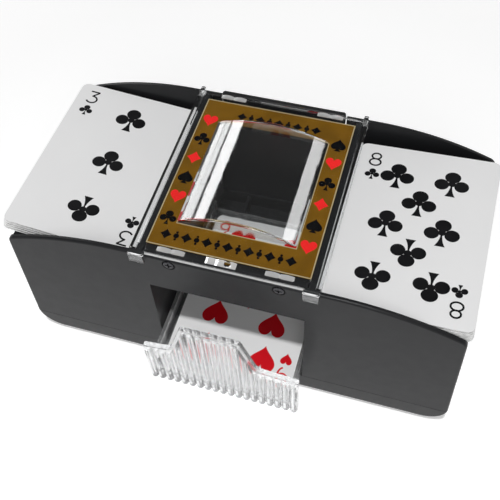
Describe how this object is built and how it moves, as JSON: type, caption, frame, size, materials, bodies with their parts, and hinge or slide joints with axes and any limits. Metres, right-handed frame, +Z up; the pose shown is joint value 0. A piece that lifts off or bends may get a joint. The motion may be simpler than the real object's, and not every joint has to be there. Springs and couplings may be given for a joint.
{
  "type": "automatic card shuffler",
  "caption": "Battery-driven playing card shuffler: card trays on both wings feed rollers that drop cards into a clear drawer under a domed clear cover.",
  "frame": {"origin": "centre of the base pan's flat underside, with the rubber feet standing 4 mm below it", "axes": "+X along the body towards the right wing, +Y towards the back (push bar side), +Z up"},
  "size_m": [0.21, 0.117, 0.0996],
  "materials": {
    "shell": "satin charcoal ABS",
    "clear": "clear polystyrene",
    "rubber": "matt rubber",
    "card": "smooth coated card",
    "label": "printed brown-gold paper",
    "nylon": "moulded nylon",
    "steel": "plated steel",
    "can": "drawn metal can",
    "brass": "plain brass",
    "cell": "printed sleeve"
  },
  "bodies": {
    "shell": {"housing": "shell", "base_pan": "shell", "rubber_feet": "rubber", "front_rail": "shell", "front_screws": "steel", "switch_block": "shell", "switch_tags": "brass", "base_screws": "steel", "battery_cells": "cell", "battery_contacts": "brass", "shaft_bushes": "brass", "plate_screws": "steel", "motor_screws": "steel", "motor_end_bells": "nylon", "bar_springs": "steel", "motor_left": "can", "motor_right": "can", "idler_pin_left": "steel", "idler_pin_right": "steel", "gear_plate_left": "steel", "gear_plate_right": "steel"},
    "cover": {"clear_cover": "clear", "label_insert": "label"},
    "drawer": {"drawer": "clear", "cards_drawer": "card"},
    "push_bar": {"push_bar": "shell"},
    "roller_left": {"roller_shaft_left": "steel", "wheel_hubs_left": "nylon", "feed_tyres_left": "rubber", "roller_gear_left": "nylon"},
    "idler_left": {"idler_gear_left": "nylon"},
    "pinion_left": {"motor_pinion_left": "brass", "motor_shaft_left": "steel"},
    "door_left": {"battery_door_left": "shell"},
    "stack_left": {"cards_left": "card"},
    "roller_right": {"roller_shaft_right": "steel", "wheel_hubs_right": "nylon", "feed_tyres_right": "rubber", "roller_gear_right": "nylon"},
    "idler_right": {"idler_gear_right": "nylon"},
    "pinion_right": {"motor_pinion_right": "brass", "motor_shaft_right": "steel"},
    "door_right": {"battery_door_right": "shell"},
    "stack_right": {"cards_right": "card"}
  },
  "joints": [
    {"name": "cover_lift", "type": "slide", "parent": "shell", "child": "cover", "axis": [0, 0, 1], "range_m": [0, 0.05]},
    {"name": "drawer_slide", "type": "slide", "parent": "shell", "child": "drawer", "axis": [0, -1, 0], "range_m": [-0.0126, 0.06]},
    {"name": "push_bar_press", "type": "slide", "parent": "shell", "child": "push_bar", "axis": [0, 0, -1], "range_m": [0, 0.0023], "stiffness_N_per_m": 400, "springref_m": -0.002, "deforming": ["bar_springs"]},
    {"name": "roller_left_spin", "type": "hinge", "parent": "shell", "child": "roller_left", "pos_m": [-0.051, 0, 0.0587], "axis": [0, 1, 0], "continuous": true},
    {"name": "idler_left_spin", "type": "hinge", "parent": "shell", "child": "idler_left", "pos_m": [-0.06005, 0, 0.04965], "axis": [0, 1, 0], "continuous": true},
    {"name": "pinion_left_spin", "type": "hinge", "parent": "shell", "child": "pinion_left", "pos_m": [-0.06005, 0, 0.03125], "axis": [0, 1, 0], "continuous": true},
    {"name": "door_left_off", "type": "slide", "parent": "shell", "child": "door_left", "axis": [0, 0, -1], "range_m": [0, 0.03]},
    {"name": "stack_left_out", "type": "slide", "parent": "shell", "child": "stack_left", "axis": [-0.9978, 0, 0.0669], "range_m": [0, 0.07]},
    {"name": "roller_right_spin", "type": "hinge", "parent": "shell", "child": "roller_right", "pos_m": [0.051, 0, 0.0587], "axis": [0, 1, 0], "continuous": true},
    {"name": "idler_right_spin", "type": "hinge", "parent": "shell", "child": "idler_right", "pos_m": [0.06005, 0, 0.04965], "axis": [0, 1, 0], "continuous": true},
    {"name": "pinion_right_spin", "type": "hinge", "parent": "shell", "child": "pinion_right", "pos_m": [0.06005, 0, 0.03125], "axis": [0, 1, 0], "continuous": true},
    {"name": "door_right_off", "type": "slide", "parent": "shell", "child": "door_right", "axis": [0, 0, -1], "range_m": [0, 0.03]},
    {"name": "stack_right_out", "type": "slide", "parent": "shell", "child": "stack_right", "axis": [0.9978, 0, 0.0669], "range_m": [0, 0.07]}
  ],
  "couplings": [
    {"joint": "idler_left_spin", "follows": "roller_left_spin", "ratio": -1.6667},
    {"joint": "pinion_left_spin", "follows": "roller_left_spin", "ratio": 6},
    {"joint": "idler_right_spin", "follows": "roller_right_spin", "ratio": -1.6667},
    {"joint": "pinion_right_spin", "follows": "roller_right_spin", "ratio": 6}
  ]
}
